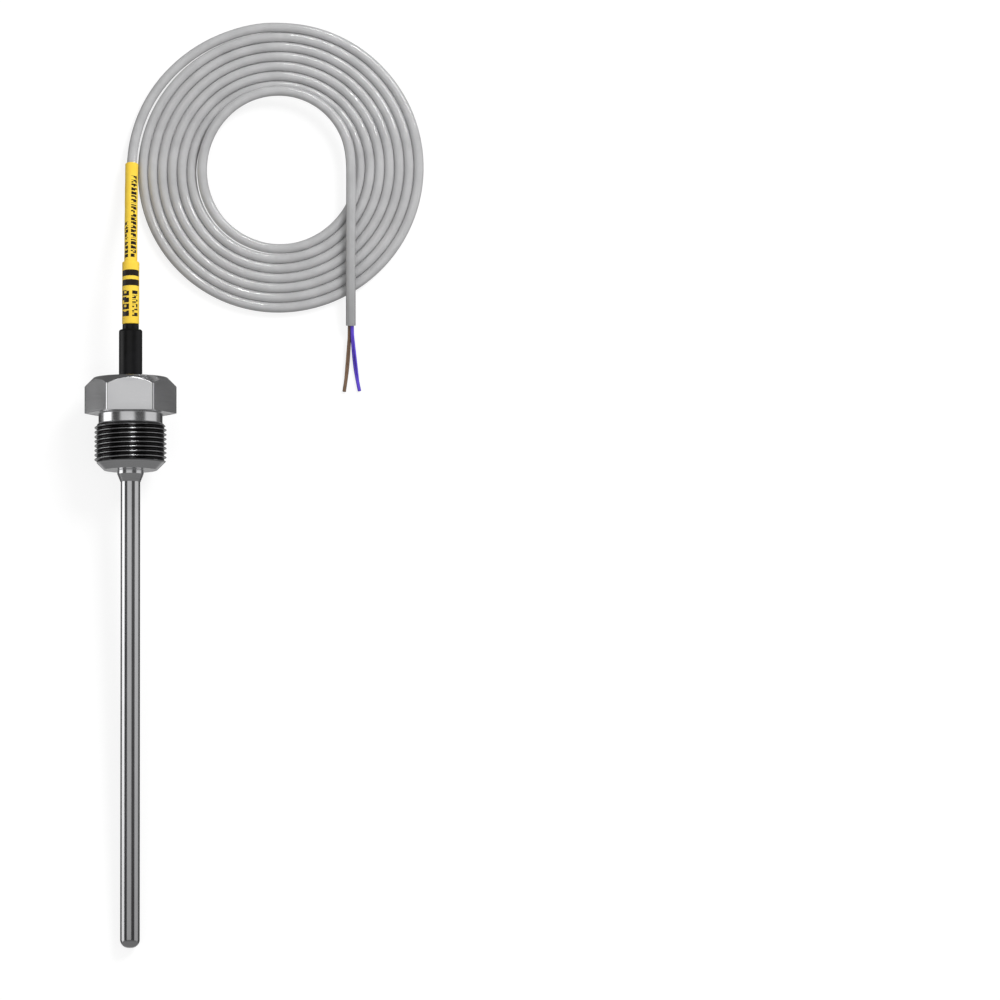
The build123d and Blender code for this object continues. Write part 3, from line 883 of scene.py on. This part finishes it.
# Towards the tip (-1) and towards the cable (1), one level all the way round
ends = [(-1.0, 0.225), (-0.5, 0.225), (0.5, 0.16), (0.8, 0.12), (1.0, 0.12)]
stage = {
    "floorReach": 2.5, "floorHeight": -2e-5,
    "floorColour": 0.25,
    "floorLift": 0.80,             # what is added to the floor for the camera alone
    "sky": 0.56,                   # the world's level on matt surfaces
    "bandsTo": (0.15, 0.34),       # where the bands give way to the ends
    "card": 0.47,                  # a light card under the table's near edge, for faces towards the tip
    "cardBelow": (0.8, 0.92),      # how steeply down a direction has to point to meet it
    "cardTowardsTip": (0.0, 0.06),
}


# The world is white to the camera, plain on matt surfaces, and has the bands and ends for gloss.
# Its pattern follows the direction: turn is the angle round the Y axis, lengthwise the part along it.
def makeWorld():
    world = bpy.data.worlds.new("studio")
    bpy.context.scene.world = world
    world.use_nodes = True
    tree = world.node_tree
    tree.nodes.clear()
    generated = addNode(tree, "ShaderNodeTexCoord").outputs["Generated"]
    across, lengthwise, upwards = addNode(tree, "ShaderNodeSeparateXYZ", {0: generated}).outputs
    turn = maths(tree, "ARCTAN2", across, upwards)
    peak = max(level for _, level in bands)
    bandStops = [((at + 180) / 360, level / peak) for at, level in bands]
    endStops = [((at + 1) / 2, level / peak) for at, level in ends]
    banded = ramp(tree, climb(tree, turn, -pi, pi), bandStops)
    endwise = ramp(tree, climb(tree, lengthwise, -1.0, 1.0), endStops)
    toEnds = climb(tree, maths(tree, "ABSOLUTE", lengthwise), *stage["bandsTo"])
    below = climb(tree, maths(tree, "MULTIPLY", upwards, -1.0), *stage["cardBelow"])
    towardsTip = climb(tree, maths(tree, "MULTIPLY", lengthwise, -1.0), *stage["cardTowardsTip"])
    card = (*[stage["card"] / peak] * 3, 1)
    level = mixed(tree, toEnds, banded, endwise)
    level = mixed(tree, maths(tree, "MULTIPLY", below, towardsTip), level, card)
    glossy = addNode(tree, "ShaderNodeBackground", {0: level, 1: peak}).outputs[0]
    plain = addNode(tree, "ShaderNodeBackground", {0: (1, 1, 1, 1), 1: stage["sky"]}).outputs[0]
    white = addNode(tree, "ShaderNodeBackground", {0: (1, 1, 1, 1), 1: 1.0}).outputs[0]
    path = addNode(tree, "ShaderNodeLightPath").outputs
    lit = addNode(tree, "ShaderNodeMixShader", {0: path["Is Glossy Ray"], 1: plain, 2: glossy}).outputs[0]
    seen = maths(tree, "MAXIMUM", path["Is Camera Ray"], path["Is Transmission Ray"])
    sky = addNode(tree, "ShaderNodeMixShader", {0: seen, 1: lit, 2: white}).outputs[0]
    addNode(tree, "ShaderNodeOutputWorld", {0: sky})


# The floor is white paper to the camera where nothing shades it. Gloss looks past it to the world.
def makeFloor():
    mesh = bpy.data.meshes.new("floor")
    reach, height = stage["floorReach"], stage["floorHeight"]
    corners = [(-reach, -reach), (reach, -reach), (reach, reach), (-reach, reach)]
    mesh.from_pydata([(x, y, height) for x, y in corners], [], [(0, 1, 2, 3)])
    floor = bpy.data.objects.new("floor", mesh)
    bpy.context.collection.objects.link(floor)
    material = bpy.data.materials.new("paper")
    material.use_nodes = True
    tree = material.node_tree
    tree.nodes.clear()
    grey = stage["floorColour"]
    matt = addNode(tree, "ShaderNodeBsdfDiffuse", {0: (grey, grey, grey, 1)})
    seen = addNode(tree, "ShaderNodeLightPath").outputs["Is Camera Ray"]
    lifted = maths(tree, "MULTIPLY", seen, stage["floorLift"])
    lift = addNode(tree, "ShaderNodeEmission", {0: (1, 1, 1, 1), 1: lifted})
    paper = addNode(tree, "ShaderNodeAddShader", {0: matt.outputs[0], 1: lift.outputs[0]})
    addNode(tree, "ShaderNodeOutputMaterial", {0: paper.outputs[0]})
    material.cycles.emission_sampling = "NONE"
    mesh.materials.append(material)
    floor.visible_glossy = False


lamps = {
    "key": {"at": (0.75, 0.85, 1.0), "size": 0.6, "power": 13.0},
    "fill": {"at": (-0.7, -0.5, 1.2), "size": 1.0, "power": 2.0},
    # Two long thin lamps, each for the gloss of one piece: they draw a fine light line along the
    # cable's turns, and a column of small lights down the thread's crests.
    "glint": {"at": (0.785, 1.285, 0.848), "size": 1.6, "height": 0.06, "power": 34.0, "only": [cableCord]},
    "strip": {"at": (0.15, 1.06, 1.05), "size": 0.2, "height": 1.5, "power": 12.0, "only": [threadedFitting]},
}


def makeLamps():
    target = Vector((0.03, 0.06, 0))  # all lamps point here, near the fitting
    for name, look in lamps.items():
        data = bpy.data.lights.new(name, "AREA")
        data.shape, data.size, data.energy = "DISK", look["size"], look["power"]
        if "height" in look:
            data.shape, data.size_y = "RECTANGLE", look["height"]
        lamp = bpy.data.objects.new(name, data)
        lamp.location = look["at"]
        lamp.rotation_euler = (target - Vector(look["at"])).to_track_quat("-Z", "Y").to_euler()
        lamp.visible_glossy = "only" in look
        lamp.visible_camera = False
        bpy.context.collection.objects.link(lamp)
        if "only" in look:
            lamp.visible_diffuse = False
            lit = bpy.data.collections.new(name + "Lit")
            for piece in look["only"]:
                lit.objects.link(piece)
            lamp.light_linking.receiver_collection = lit


makeWorld()
makeFloor()
makeLamps()
bpy.context.scene.view_settings.view_transform = "Standard"
print("stage made")
